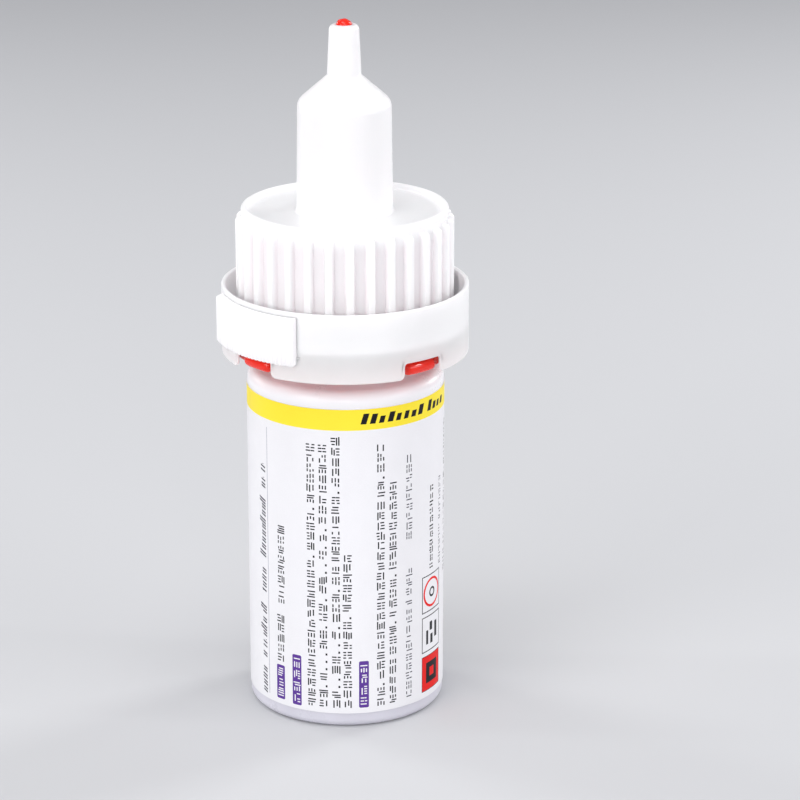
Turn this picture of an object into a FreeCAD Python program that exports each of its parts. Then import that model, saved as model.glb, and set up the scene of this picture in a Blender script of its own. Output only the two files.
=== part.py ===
import FreeCAD, Part
import math
import os
import Sketcher

# Glue applicator bottle: a 20 ml squeeze bottle with a press-in nozzle and a two-piece
# squeeze-and-turn cap. Millimetres, +Z up. The origin is the centre of the base, on the
# surface that the bottle stands on, and -Y is the front. An azimuth is an angle about +Z,
# measured from the front (-Y) towards +X.

doc = FreeCAD.newDocument("GlueApplicatorBottle")
sheet = doc.addObject("Spreadsheet::Sheet", "Sizes")

DRIVING_SIZES = {
    # bottle body
    "body_radius": 13.65, "body_wall": 0.9, "base_thickness": 1.2, "base_corner": 1.2,
    "foot_inner_radius": 9.6, "foot_recess": 0.7, "shoulder_height": 48.9, "shoulder_corner": 1.6,
    "shoulder_rise": 0.5, "neck_radius": 10.2, "neck_bore": 9.0, "neck_top": 66.8,
    "bead_height": 52.5, "bead_half_width": 0.6, "bead_proud": 0.7,
    # screw thread, shared by the neck and the inner cap
    "pitch": 3.0, "thread_turns": 1.75, "thread_start": 58.5, "thread_root_width": 1.4,
    "thread_crest_width": 0.6, "male_crest": 11.15, "female_crest": 10.5, "thread_bite": 0.1,
    # label
    "label_thickness": 0.1, "label_bottom": 2.2, "label_top": 46.75, "label_sweep": 358.5,
    # glue
    "glue_clearance": 0.05, "glue_level": 41.45,
    # nozzle
    "plug_depth": 5.8, "plug_wall": 0.9, "flange_radius": 10.1, "flange_thickness": 1.2,
    "spout_base_radius": 3.8, "spout_shoulder": 79.0, "tip_radius": 2.0, "tip_top": 86.5,
    "spout_bore_base": 2.9, "orifice_radius": 0.55, "orifice_length": 3.5,
    # sealing ring
    "seal_inner": 4.6, "seal_outer": 10.9, "seal_thickness": 0.4, "seal_gap": 0.1,
    # inner cap
    "skirt_inner": 11.45, "skirt_outer": 12.6, "skirt_bottom": 53.9, "flange_depth": 1.0,
    "rim_radius": 15.8, "rim_wall": 0.9, "rim_bottom": 51.4, "rim_corner": 0.35, "lug_face": 16.3,
    "lug_height": 1.75, "lug_width": 5.0, "lug_azimuth": 39.7, "lug_count": 4, "lug_corner": 0.55,
    "plate_thickness": 1.1, "spire_bore_base": 4.2, "spire_bore_top": 4.0, "core_base": 5.2,
    "core_top": 5.05, "core_drop": 0.21, "stem_radius": 1.05, "stem_top": 97.5, "stem_corner": 0.42,
    "roof_radius": 2.4, "roof_height": 87.0,
    "snap_height": 62.0, "snap_radius": 13.1, "snap_half_width": 0.4,
    # clog pin
    "pin_radius": 0.35, "pin_bottom": 83.0, "pin_top": 89.5, "pin_corner": 0.175,
    # outer shell
    "ring_radius": 17.05, "ring_top": 60.95, "ring_bottom": 51.35, "ring_wall": 0.6,
    "ring_lip_wall": 0.35, "ring_edge": 0.14, "web_bottom": 55.3, "web_thickness": 1.1,
    "wall_radius": 14.15, "wall_bore": 12.95, "wall_top": 71.85, "lip_thickness": 0.8,
    "lip_corner": 0.7,
    "deck_height": 71.0, "deck_thickness": 1.0, "spire_base": 6.6, "spire_top": 6.4,
    "spire_bore_low": 5.5, "spire_bore_high": 5.35, "cone_bottom": 86.28, "cone_top": 89.83,
    "cone_corner": 1.9, "nose_base": 2.33, "nose_top_radius": 2.02, "nose_top": 96.75,
    "nose_corner": 0.6, "nose_bore": 1.15, "spire_wall_drop": 0.33, "snap_clearance": 0.2,
    "rib_radius": 15.0, "rib_top": 70.4, "rib_sweep": 4.4, "rib_count": 32, "rib_azimuth": 2.6,
    "rib_corner": 0.6,
    "notch_top": 53.6, "notch_corner": 0.45, "notch_mouth_corner": 0.8,
    "grip_notch_width": 6.75, "side_notch_width": 6.1,
    "grip_notch_azimuth": 312.2, "side_notch_azimuth": 38.35,
    "pad_radius": 18.1, "pad_bottom": 53.7, "pad_top": 60.3, "pad_chamfer": 0.45,
    "front_pad_azimuth": 309.3, "front_pad_sweep": 56.6, "rear_pad_azimuth": 129.3,
    "rear_pad_sweep": 44.5, "pad_corner": 0.225,
    "knurl_pitch": 2.15, "knurl_sweep": 1.05, "knurl_depth": 0.3,
    # how far a cut reaches past the plastic that it removes
    "cut_margin": 1.0,
}


class Size:
    """A value in the sheet's units, with the sheet expression that gives it."""

    def __init__(self, value, text):
        self.value = value
        self.text = text

    @staticmethod
    def of(item):
        return item if isinstance(item, Size) else Size(float(item), repr(item))

    def joined(self, sign, item, value):
        return Size(value, "(" + self.text + " " + sign + " " + item.text + ")")

    def __add__(self, item):
        item = Size.of(item)
        return self.joined("+", item, self.value + item.value)

    def __sub__(self, item):
        item = Size.of(item)
        return self.joined("-", item, self.value - item.value)

    def __mul__(self, item):
        item = Size.of(item)
        return self.joined("*", item, self.value * item.value)

    def __truediv__(self, item):
        item = Size.of(item)
        return self.joined("/", item, self.value / item.value)


class Sizes:
    """The driving sizes as attributes, each one bound to its cell's alias."""


s = Sizes()
for row, (alias, number) in enumerate(DRIVING_SIZES.items(), start=1):
    sheet.set("A" + str(row), alias)
    sheet.set("B" + str(row), str(number))
    sheet.setAlias("B" + str(row), alias)
    setattr(s, alias, Size(float(number), "Sizes." + alias))
doc.recompute()
ZERO = Size(0.0, "0")
OUTLINE_AZIMUTH = 90  # the azimuth of +X, where an outline in the XZ plane lies


def new_body(label):
    body = doc.addObject("PartDesign::Body", label)
    body.Label = label
    body.Placement = FreeCAD.Placement()
    return body


def origin_feature(body, role):
    return [item for item in body.Origin.OriginFeatures if item.Role == role][0]


def axial_sketch(body, name, turn=None):
    """A sketch in an upright plane through the axis, turned about the axis from the XZ plane."""
    sketch = body.newObject("Sketcher::SketchObject", name)
    sketch.AttachmentSupport = (origin_feature(body, "XZ_Plane"), [""])
    sketch.MapMode = "FlatFace"
    if turn is not None:
        rotation = FreeCAD.Rotation(FreeCAD.Vector(0, 1, 0), turn.value)
        sketch.AttachmentOffset = FreeCAD.Placement(FreeCAD.Vector(), rotation)
        sketch.setExpression("AttachmentOffset.Rotation.Angle", turn.text)
    return sketch


def rounded_corner(before, corner, after, radius):
    """Where an arc of this radius starts and ends in a corner, and its centre."""
    back = (before - corner).normalize()
    ahead = (after - corner).normalize()
    half = back.getAngle(ahead) / 2
    reach = radius / math.tan(half)
    centre = corner + (back + ahead).normalize() * (radius / math.sin(half))
    return corner + back * reach, corner + ahead * reach, centre


def draw_outline(sketch, points):
    """Draw a closed outline of (across, up) or (across, up, corner radius), fully constrained."""
    count = len(points)
    spots = [FreeCAD.Vector(point[0].value, point[1].value, 0) for point in points]
    starts, ends, centres = list(spots), list(spots), [None] * count
    for i in range(count):
        if len(points[i]) == 3:
            found = rounded_corner(spots[i - 1], spots[i], spots[(i + 1) % count], points[i][2].value)
            starts[i], ends[i], centres[i] = found
    lines = []
    for i in range(count):
        lines.append(sketch.addGeometry(Part.LineSegment(ends[i], starts[(i + 1) % count]), False))
    for i in range(count):
        before, after = lines[i - 1], lines[i]
        if centres[i] is None:
            sketch.addConstraint(Sketcher.Constraint("Coincident", before, 2, after, 1))
            place_point(sketch, after, 1, points[i])
            continue
        arc = add_corner_arc(sketch, starts[i], ends[i], centres[i])
        first, last = (1, 2) if arc[1] else (2, 1)
        sketch.addConstraint(Sketcher.Constraint("Tangent", before, 2, arc[0], first))
        sketch.addConstraint(Sketcher.Constraint("Tangent", arc[0], last, after, 1))
        bind(sketch, Sketcher.Constraint("Radius", arc[0], points[i][2].value), points[i][2])
        mark = sketch.addGeometry(Part.Point(spots[i]), True)
        sketch.addConstraint(Sketcher.Constraint("PointOnObject", mark, 1, before))
        sketch.addConstraint(Sketcher.Constraint("PointOnObject", mark, 1, after))
        place_point(sketch, mark, 1, points[i])


def add_corner_arc(sketch, start, end, centre):
    """Add the short arc between two points, and say whether it starts at the first one."""
    radius = (start - centre).Length
    turn = (start - centre).cross(end - centre).z
    forward = turn > 0
    low, high = (start, end) if forward else (end, start)
    low_angle = math.atan2(low.y - centre.y, low.x - centre.x)
    high_angle = math.atan2(high.y - centre.y, high.x - centre.x)
    circle = Part.Circle(centre, FreeCAD.Vector(0, 0, 1), radius)
    return sketch.addGeometry(Part.ArcOfCircle(circle, low_angle, high_angle), False), forward


def place_point(sketch, item, end, point):
    for kind, size, axis in (("DistanceX", point[0], -2), ("DistanceY", point[1], -1)):
        if size is ZERO:
            sketch.addConstraint(Sketcher.Constraint("PointOnObject", item, end, axis))
        else:
            bind(sketch, Sketcher.Constraint(kind, -1, 1, item, end, size.value), size)


def bind(sketch, constraint, size):
    index = sketch.addConstraint(constraint)
    sketch.setExpression("Constraints[" + str(index) + "]", size.text)


def revolve(body, name, points, sweep=None, azimuth=None, kind="PartDesign::Revolution"):
    """Turn an outline of (radius, height) about the axis, or over a sweep centred on an azimuth."""
    turn = None if azimuth is None else azimuth + (360 - OUTLINE_AZIMUTH)
    sketch = axial_sketch(body, name + "_sketch", turn)
    draw_outline(sketch, points)
    feature = body.newObject(kind, name)
    feature.Profile = sketch
    feature.ReferenceAxis = (origin_feature(body, "Z_Axis"), [""])
    if sweep is not None:
        feature.Midplane = True
        feature.setExpression("Angle", sweep.text)
    sketch.Visibility = False
    body.Tip = feature
    doc.recompute()
    return feature


def around_axis(body, name, feature, count, sweep=None):
    """Repeat a feature about the axis, over a full turn or over a sweep."""
    pattern = body.newObject("PartDesign::PolarPattern", name)
    pattern.Originals = [feature]
    pattern.Axis = (origin_feature(body, "Z_Axis"), [""])
    if sweep is not None:
        pattern.setExpression("Angle", sweep.text)
    if isinstance(count, Size):
        pattern.setExpression("Occurrences", count.text)
    else:
        pattern.Occurrences = count
    body.Tip = pattern
    doc.recompute()
    return pattern


def extrude(body, name, points, length, azimuth, start=None, kind="PartDesign::Pad"):
    """Carry an outline, seen from outside at an azimuth, outwards from the axis or from a start."""
    sketch = axial_sketch(body, name + "_sketch", azimuth)
    draw_outline(sketch, points)
    if start is not None:
        angle = "(" + azimuth.text + " * 1 deg)"
        sketch.setExpression("AttachmentOffset.Base.x", start.text + " * sin" + angle)
        sketch.setExpression("AttachmentOffset.Base.z", start.text + " * cos" + angle)
    feature = body.newObject(kind, name)
    feature.Profile = sketch
    feature.Reversed = kind == "PartDesign::Pocket"
    feature.setExpression("Length", length.text)
    sketch.Visibility = False
    body.Tip = feature
    doc.recompute()
    return feature


def thread(body, name, root, crest, start):
    """A right-hand thread whose profile's middle starts at a height in front of the axis."""
    wide = s.thread_root_width / 2
    narrow = s.thread_crest_width / 2
    sketch = axial_sketch(body, name + "_sketch")
    draw_outline(sketch, [(root, start - wide), (root, start + wide),
                          (crest, start + narrow), (crest, start - narrow)])
    helix = body.newObject("PartDesign::AdditiveHelix", name)
    helix.Profile = sketch
    helix.ReferenceAxis = (origin_feature(body, "Z_Axis"), [""])
    helix.Mode = "pitch-turns-angle"
    helix.setExpression("Pitch", s.pitch.text)
    helix.setExpression("Turns", s.thread_turns.text)
    sketch.Visibility = False
    body.Tip = helix
    doc.recompute()
    return helix


def make_bottle_body():
    """Blow-moulded body with a flat shoulder and a threaded neck."""
    body = new_body("bottle_body")
    inner = s.body_radius - s.body_wall
    shoulder_inside = s.shoulder_height - s.body_wall
    neck_foot = s.shoulder_height + s.shoulder_rise
    bead = s.neck_radius + s.bead_proud
    revolve(body, "blown_wall", [
        (ZERO, s.foot_recess),
        (s.foot_inner_radius - s.foot_recess, s.foot_recess),
        (s.foot_inner_radius, ZERO),
        (s.body_radius, ZERO, s.base_corner),
        (s.body_radius, s.shoulder_height, s.shoulder_corner),
        (s.neck_radius, neck_foot),
        (s.neck_radius, s.bead_height - s.bead_half_width),
        (bead, s.bead_height),
        (s.neck_radius, s.bead_height + s.bead_half_width),
        (s.neck_radius, s.neck_top),
        (s.neck_bore, s.neck_top),
        (s.neck_bore, shoulder_inside + s.shoulder_rise),
        (inner, shoulder_inside, s.body_wall),
        (inner, s.base_thickness + s.foot_recess, s.body_wall),
        (ZERO, s.base_thickness + s.foot_recess),
    ])
    thread(body, "neck_thread", s.neck_radius - s.thread_bite, s.male_crest, s.thread_start)
    return body


def make_label():
    """Wrap-around printed film whose ends nearly meet at the back."""
    body = new_body("label")
    outer = s.body_radius + s.label_thickness
    revolve(body, "film", [
        (s.body_radius, s.label_bottom), (outer, s.label_bottom),
        (outer, s.label_top), (s.body_radius, s.label_top),
    ], sweep=s.label_sweep, azimuth=ZERO)
    return body


def make_glue_fill():
    """The adhesive, as the space that it takes up in the standing bottle."""
    body = new_body("glue_fill")
    radius = s.body_radius - s.body_wall - s.glue_clearance
    bottom = s.base_thickness + s.foot_recess + s.glue_clearance
    revolve(body, "glue", [
        (ZERO, bottom), (radius, bottom, s.body_wall),
        (radius, s.glue_level), (ZERO, s.glue_level),
    ])
    return body


def make_nozzle():
    """Press-in nozzle: a hollow plug in the neck, a flange on top of it and a tapered spout."""
    body = new_body("nozzle")
    plug_inner = s.neck_bore - s.plug_wall
    flange_top = s.neck_top + s.flange_thickness
    orifice_bottom = s.tip_top - s.orifice_length
    revolve(body, "nozzle_form", [
        (plug_inner, s.neck_top - s.plug_depth),
        (s.neck_bore, s.neck_top - s.plug_depth),
        (s.neck_bore, s.neck_top),
        (s.flange_radius, s.neck_top),
        (s.flange_radius, flange_top),
        (s.spout_base_radius, flange_top),
        (s.tip_radius, s.spout_shoulder),
        (s.tip_radius, s.tip_top),
        (s.orifice_radius, s.tip_top),
        (s.orifice_radius, orifice_bottom),
        (s.spout_bore_base, s.neck_top),
        (plug_inner, s.neck_top),
    ])
    return body


def make_cap_seal():
    """Flat sealing ring between the nozzle's flange and the inner cap."""
    body = new_body("cap_seal")
    bottom = s.neck_top + s.flange_thickness + s.seal_gap
    revolve(body, "ring", [
        (s.seal_inner, bottom), (s.seal_outer, bottom),
        (s.seal_outer, bottom + s.seal_thickness), (s.seal_inner, bottom + s.seal_thickness),
    ])
    return body


def plate_height():
    return s.neck_top + s.flange_thickness + s.seal_gap * 2 + s.seal_thickness


def make_inner_cap():
    """Inner cap: threaded skirt, lugged flange, top plate, and a spire ending in a thin stem."""
    body = new_body("inner_cap")
    plate = plate_height()
    flange_top = s.skirt_bottom + s.flange_depth
    cone_bottom = s.cone_bottom - s.spire_wall_drop - s.core_drop
    cone_rise = (s.core_top - s.stem_radius) * (s.cone_top - s.cone_bottom) / (s.spire_top - s.nose_base)
    revolve(body, "cap_form", [
        (s.skirt_inner, s.skirt_bottom),
        (s.rim_radius - s.rim_wall, s.skirt_bottom),
        (s.rim_radius - s.rim_wall, s.rim_bottom),
        (s.rim_radius, s.rim_bottom),
        (s.rim_radius, flange_top, s.rim_corner),
        (s.skirt_outer, flange_top),
        (s.skirt_outer, s.snap_height - s.snap_half_width),
        (s.snap_radius, s.snap_height),
        (s.skirt_outer, s.snap_height + s.snap_half_width),
        (s.skirt_outer, plate + s.plate_thickness),
        (s.core_base, plate + s.plate_thickness),
        (s.core_top, cone_bottom),
        (s.stem_radius, cone_bottom + cone_rise),
        (s.stem_radius, s.stem_top, s.stem_corner),
        (ZERO, s.stem_top),
        (ZERO, s.pin_top),
        (s.pin_radius, s.pin_top),
        (s.pin_radius, s.roof_height),
        (s.roof_radius, s.roof_height),
        (s.spire_bore_top, s.roof_height - (s.spire_bore_top - s.roof_radius)),
        (s.spire_bore_base, plate),
        (s.skirt_inner, plate),
    ])
    add_lugs(body)
    half_pitch = s.pitch / 2
    thread(body, "cap_thread", s.skirt_inner + s.thread_bite, s.female_crest,
           s.thread_start - half_pitch)
    return body


def add_lugs(body):
    """Rounded lugs that stand out of the flange's rim, where the shell's notches can catch them."""
    half = s.lug_width / 2
    top = s.rim_bottom + s.lug_height
    left = ZERO - half
    start = s.rim_radius - s.rim_wall
    lug = extrude(body, "lug", [
        (left, s.rim_bottom, s.lug_corner), (half, s.rim_bottom, s.lug_corner),
        (half, top, s.lug_corner), (left, top, s.lug_corner),
    ], s.lug_face - start, s.lug_azimuth, start=start)
    around_axis(body, "lugs", lug, s.lug_count)


def make_cap_pin():
    """Fine steel pin that keeps the nozzle's outlet open."""
    body = new_body("cap_pin")
    revolve(body, "wire", [
        (ZERO, s.pin_bottom), (s.pin_radius, s.pin_bottom, s.pin_corner),
        (s.pin_radius, s.pin_top), (ZERO, s.pin_top),
    ])
    return body


def add_shell_wall(body):
    """The turned form of the outer shell: skirt ring, web, upright wall, deck, spire and nose."""
    web_top = s.web_bottom + s.web_thickness
    snap = s.snap_half_width + s.snap_clearance / 2
    deck_inside = s.deck_height - s.deck_thickness
    cone_inside = s.cone_bottom - s.spire_wall_drop
    inside_rise = (s.spire_bore_high - s.nose_bore) * (s.cone_top - s.cone_bottom)
    nose_inside = cone_inside + inside_rise / (s.spire_top - s.nose_base)
    groove = s.snap_radius + s.snap_clearance
    revolve(body, "shell_form", [
        (s.ring_radius, s.ring_bottom, s.ring_edge),
        (s.ring_radius, s.ring_top, s.ring_edge),
        (s.ring_radius - s.ring_wall, s.ring_top, s.ring_edge),
        (s.ring_radius - s.ring_wall, web_top),
        (s.wall_radius, web_top),
        (s.wall_radius, s.wall_top, s.lip_corner),
        (s.wall_radius - s.lip_thickness, s.wall_top),
        (s.wall_radius - s.lip_thickness, s.deck_height),
        (s.spire_base, s.deck_height),
        (s.spire_top, s.cone_bottom, s.cone_corner),
        (s.nose_base, s.cone_top),
        (s.nose_top_radius, s.nose_top, s.nose_corner),
        (s.nose_bore, s.nose_top),
        (s.nose_bore, nose_inside),
        (s.spire_bore_high, cone_inside),
        (s.spire_bore_low, deck_inside),
        (s.wall_bore, deck_inside),
        (s.wall_bore, s.snap_height + snap),
        (groove, s.snap_height + snap / 2),
        (groove, s.snap_height - snap / 2),
        (s.wall_bore, s.snap_height - snap),
        (s.wall_bore, s.web_bottom),
        (s.ring_radius - s.ring_lip_wall, s.web_bottom),
        (s.ring_radius - s.ring_lip_wall, s.ring_bottom),
    ])


def add_ribs(body):
    """Upright grip ribs round the wall, from the web to just under the rim."""
    root = s.wall_radius - s.lip_thickness / 2
    rib = revolve(body, "rib", [
        (root, s.web_bottom + s.web_thickness / 2),
        (s.rib_radius, s.web_bottom + s.web_thickness / 2),
        (s.rib_radius, s.rib_top, s.rib_corner),
        (root, s.rib_top),
    ], sweep=s.rib_sweep, azimuth=s.rib_azimuth)
    around_axis(body, "ribs", rib, s.rib_count)


def add_notch_pair(body, name, width, azimuth):
    """Two opposite notches in the ring's lower edge, rounded at their upper and lower corners."""
    half = width / 2
    left = ZERO - half
    mouth = half + s.notch_mouth_corner + s.cut_margin
    below = s.ring_bottom - s.cut_margin
    notch = extrude(body, name, [
        (ZERO - mouth, below), (mouth, below), (mouth, s.ring_bottom),
        (half, s.ring_bottom, s.notch_mouth_corner), (half, s.notch_top, s.notch_corner),
        (left, s.notch_top, s.notch_corner), (left, s.ring_bottom, s.notch_mouth_corner),
        (ZERO - mouth, s.ring_bottom),
    ], s.pad_radius + s.cut_margin, azimuth, kind="PartDesign::Pocket")
    around_axis(body, name + "_pair", notch, 2)


def add_pad(body, name, azimuth, sweep):
    """A raised grip pad on the ring, with fine upright knurls."""
    root = s.ring_radius - s.ring_wall / 2
    revolve(body, name, [
        (root, s.pad_bottom),
        (s.pad_radius, s.pad_bottom, s.pad_corner),
        (s.pad_radius, s.pad_top - s.pad_chamfer),
        (s.ring_radius, s.pad_top),
        (root, s.pad_top),
    ], sweep=sweep, azimuth=azimuth)
    count = int(sweep.value / s.knurl_pitch.value)
    inner = s.pad_radius - s.knurl_depth
    outer = s.pad_radius + s.cut_margin
    below = s.pad_bottom - s.cut_margin
    above = s.pad_top + s.cut_margin
    first = azimuth - s.knurl_pitch * ((count - 1) / 2)
    groove = revolve(body, name + "_knurl", [
        (inner, below), (outer, below), (outer, above), (inner, above),
    ], sweep=s.knurl_sweep, azimuth=first, kind="PartDesign::Groove")
    around_axis(body, name + "_knurls", groove, count, s.knurl_pitch * (count - 1))


def make_outer_shell():
    """Outer shell that spins on the inner cap until its ring is squeezed onto the lugs."""
    body = new_body("outer_shell")
    add_shell_wall(body)
    add_ribs(body)
    add_pad(body, "front_pad", s.front_pad_azimuth, s.front_pad_sweep)
    add_pad(body, "rear_pad", s.rear_pad_azimuth, s.rear_pad_sweep)
    add_notch_pair(body, "grip_notch", s.grip_notch_width, s.grip_notch_azimuth)
    add_notch_pair(body, "side_notch", s.side_notch_width, s.side_notch_azimuth)
    return body


def check_document():
    for item in doc.Objects:
        if "Invalid" in item.State or "Error" in item.State:
            raise RuntimeError(item.Name + " failed: " + str(item.State))


def export(parts):
    """Check every sub-part's shape and write it to parts/NODE.step."""
    os.makedirs("parts", exist_ok=True)
    for part in parts:
        if part.Shape.isNull() or not part.Shape.isValid():
            raise RuntimeError(part.Label + " has no valid shape")
    for part in parts:
        part.Shape.exportStep("parts/" + part.Label + ".step")
        box = part.Shape.BoundBox
        print(part.Label, len(part.Shape.Solids), "solid,", round(part.Shape.Volume, 1), "mm3,",
              "z", round(box.ZMin, 2), "to", round(box.ZMax, 2))


parts = [make_bottle_body(), make_label(), make_glue_fill(), make_nozzle(), make_cap_seal(),
         make_inner_cap(), make_cap_pin(), make_outer_shell()]
doc.recompute()
check_document()
export(parts)
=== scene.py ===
import math
import random

import bmesh
import bpy
import numpy as np
from mathutils import Matrix, Vector
from mathutils.geometry import delaunay_2d_cdt


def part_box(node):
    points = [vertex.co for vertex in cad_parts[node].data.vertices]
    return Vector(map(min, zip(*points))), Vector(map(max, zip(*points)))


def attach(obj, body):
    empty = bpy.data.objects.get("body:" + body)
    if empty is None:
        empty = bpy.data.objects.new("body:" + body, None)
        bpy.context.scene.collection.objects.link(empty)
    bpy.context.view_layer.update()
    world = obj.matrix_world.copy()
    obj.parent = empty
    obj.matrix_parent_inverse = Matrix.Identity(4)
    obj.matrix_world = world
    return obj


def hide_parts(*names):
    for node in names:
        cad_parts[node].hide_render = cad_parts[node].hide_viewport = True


# Looks for the glue applicator bottle. Shapes are in millimetres here and become metres when a
# mesh is made. An azimuth is measured from the front (-Y) towards +X, as in the CAD model.

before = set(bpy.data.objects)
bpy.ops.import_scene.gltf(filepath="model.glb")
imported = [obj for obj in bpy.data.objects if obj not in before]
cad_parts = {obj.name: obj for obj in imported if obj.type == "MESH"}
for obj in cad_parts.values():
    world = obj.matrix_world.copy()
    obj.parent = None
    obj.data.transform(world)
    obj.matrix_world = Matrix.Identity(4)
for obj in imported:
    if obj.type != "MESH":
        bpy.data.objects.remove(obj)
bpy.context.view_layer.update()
scene = bpy.context.scene
MM = 0.001
SEED = 11  # for the lengths and gaps of the printed dashes
random.seed(SEED)


def node_mm(name):
    """Lowest and highest corner of a CAD node, in millimetres."""
    low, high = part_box(name)
    return np.array(low) / MM, np.array(high) / MM


BODY_HIGH = node_mm("bottle_body")[1]
LABEL_LOW, LABEL_HIGH = node_mm("label")
SHELL_LOW, SHELL_HIGH = node_mm("outer_shell")
CAP_LOW, CAP_HIGH = node_mm("inner_cap")
SEAL_LOW, SEAL_HIGH = node_mm("cap_seal")

# ---------------------------------------------------------------- mesh helpers

CREASE = math.radians(38)  # edges sharper than this are shaded sharp
MERGE_DISTANCE = 1e-8  # metres


def rounded(points, steps):
    """An outline of (x, y) or (x, y, radius), with an arc at every corner that has a radius."""
    out = []
    count = len(points)
    for i, point in enumerate(points):
        corner = np.array(point[:2], float)
        radius = point[2] if len(point) > 2 else 0
        if not radius:
            out.append(corner)
            continue
        before = np.array(points[i - 1][:2], float) - corner
        after = np.array(points[(i + 1) % count][:2], float) - corner
        before /= np.linalg.norm(before)
        after /= np.linalg.norm(after)
        half = math.acos(max(-1.0, min(1.0, float(before @ after)))) / 2
        middle = (before + after) / np.linalg.norm(before + after)
        centre = corner + middle * radius / math.sin(half)
        first = corner + before * radius / math.tan(half) - centre
        last = corner + after * radius / math.tan(half) - centre
        sweep = math.pi - 2 * half
        for k in range(steps + 1):
            share = k / steps
            turned_to = first * math.sin((1 - share) * sweep) + last * math.sin(share * sweep)
            out.append(centre + turned_to / math.sin(sweep))
    return np.array(out)


def round_points(radius, azimuth, height):
    """Points in the frame for a radius, an azimuth in degrees and a height, all as arrays."""
    angle = np.radians(azimuth)
    x, y = radius * np.sin(angle), -radius * np.cos(angle)
    return np.stack(np.broadcast_arrays(x, y, height), -1)


def grid_faces(rows, cols, wrap_rows, wrap_cols):
    """Quads between the neighbours of a grid, closed on itself where it wraps."""
    index = np.arange(rows * cols).reshape(rows, cols)
    below, above = (index, np.roll(index, -1, 0)) if wrap_rows else (index[:-1], index[1:])
    if wrap_cols:
        quads = [below, np.roll(below, -1, 1), np.roll(above, -1, 1), above]
    else:
        quads = [below[:, :-1], below[:, 1:], above[:, 1:], above[:, :-1]]
    return np.stack(quads, -1).reshape(-1, 4).tolist()


class Shape:
    """Vertices and faces of one moulding, gathered from its regions."""

    def __init__(self):
        self.points = []
        self.faces = []
        self.slots = []

    def add(self, points, faces, slot=0):
        start = len(self.points)
        self.points.extend(np.asarray(points, float).reshape(-1, 3).tolist())
        self.faces.extend([[i + start for i in face] for face in faces])
        self.slots.extend([slot] * len(faces))

    def add_grid(self, points, wrap_rows=True, wrap_cols=True, caps=False, slot=0):
        rows, cols = points.shape[:2]
        faces = grid_faces(rows, cols, wrap_rows, wrap_cols)
        if caps:
            faces.append([r * cols for r in range(rows)])
            faces.append([r * cols + cols - 1 for r in range(rows)])
        self.add(points, faces, slot)

    def make(self, name, body, materials, replaces):
        """The finished piece, on its body and in place of the CAD nodes it replaces."""
        mesh = bpy.data.meshes.new(name)
        mesh.from_pydata((np.array(self.points) * MM).tolist(), [], self.faces)
        for material in materials:
            mesh.materials.append(material)
        mesh.polygons.foreach_set("material_index", self.slots)
        work = bmesh.new()
        work.from_mesh(mesh)
        bmesh.ops.remove_doubles(work, verts=work.verts, dist=MERGE_DISTANCE)
        bmesh.ops.recalc_face_normals(work, faces=work.faces)
        work.to_mesh(mesh)
        work.free()
        mesh.polygons.foreach_set("use_smooth", [True] * len(mesh.polygons))
        mesh.set_sharp_from_angle(angle=CREASE)
        piece = bpy.data.objects.new(name, mesh)
        scene.collection.objects.link(piece)
        weighted = piece.modifiers.new("flat_faces", "WEIGHTED_NORMAL")
        weighted.keep_sharp = True
        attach(piece, body)
        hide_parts(*replaces)
        return piece


def full_turn(count):
    return np.arange(count) * 360.0 / count


def add_turned(shape, outline, count):
    """A turned form from a closed outline of (radius, height)."""
    azimuths = full_turn(count)
    shape.add_grid(round_points(outline[:, :1], azimuths[None, :], outline[:, 1:]))


THREAD_PITCH = 3.0
THREAD_TURNS = 1.75
THREAD_ROOT = 0.7  # half the ridge's width where it leaves the wall
THREAD_CREST = 0.3  # half its width at the crest
RUN_OUT = 0.08  # turns over which the ridge rises at each end
STEPS_PER_TURN = 120


def add_helix(shape, root, crest, start):
    """A right-hand thread ridge that runs out into the wall at both ends."""
    steps = int(THREAD_TURNS * STEPS_PER_TURN)
    rows = []
    for k in range(steps + 1):
        turn = THREAD_TURNS * k / steps
        fade = min(1.0, turn / RUN_OUT, (THREAD_TURNS - turn) / RUN_OUT)
        fade = math.sin(fade * math.pi / 2)
        reach = root + (crest - root) * max(fade, 0.02)
        flank = reach - (reach - root) * 0.15
        soft = 0.12 * fade
        height = start + THREAD_PITCH * turn
        profile = [
            (root, -THREAD_ROOT),
            (flank, -THREAD_CREST - soft),
            (reach, -THREAD_CREST * 0.6),
            (reach, THREAD_CREST * 0.6),
            (flank, THREAD_CREST + soft),
            (root, THREAD_ROOT),
        ]
        rows.append([round_points(r, 90 + 360 * turn, height + z) for r, z in profile])
    points = np.array(rows).transpose(1, 0, 2)
    shape.add_grid(points, wrap_rows=True, wrap_cols=False, caps=True)


EDGE_CROWDING = 1.6  # draws a rounded box's grid lines towards its edges


def rounded_box(size, radius, cuts):
    """Points and faces of a box about the origin with every edge and corner rounded."""
    work = bmesh.new()
    bmesh.ops.create_cube(work, size=1)
    bmesh.ops.subdivide_edges(work, edges=work.edges, cuts=cuts, use_grid_fill=True)
    half = np.array(size) / 2
    points = []
    for vert in work.verts:
        place = np.array(vert.co) * 2
        place = np.sign(place) * (1 - (1 - np.abs(place)) ** EDGE_CROWDING) * half
        core = np.clip(place, -(half - radius), half - radius)
        out = place - core
        points.append(core + out / max(np.linalg.norm(out), 1e-9) * radius)
    faces = [[v.index for v in face.verts] for face in work.faces]
    work.free()
    return np.array(points), faces


# ---------------------------------------------------------------- material helpers


def new_material(name, **sockets):
    """A Principled material with these constants, its node tree and its shader."""
    material = bpy.data.materials.new(name)
    material.use_nodes = True
    shader = material.node_tree.nodes["Principled BSDF"]
    for socket, value in sockets.items():
        shader.inputs[socket.replace("_", " ")].default_value = value
    return material, material.node_tree, shader


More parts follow.
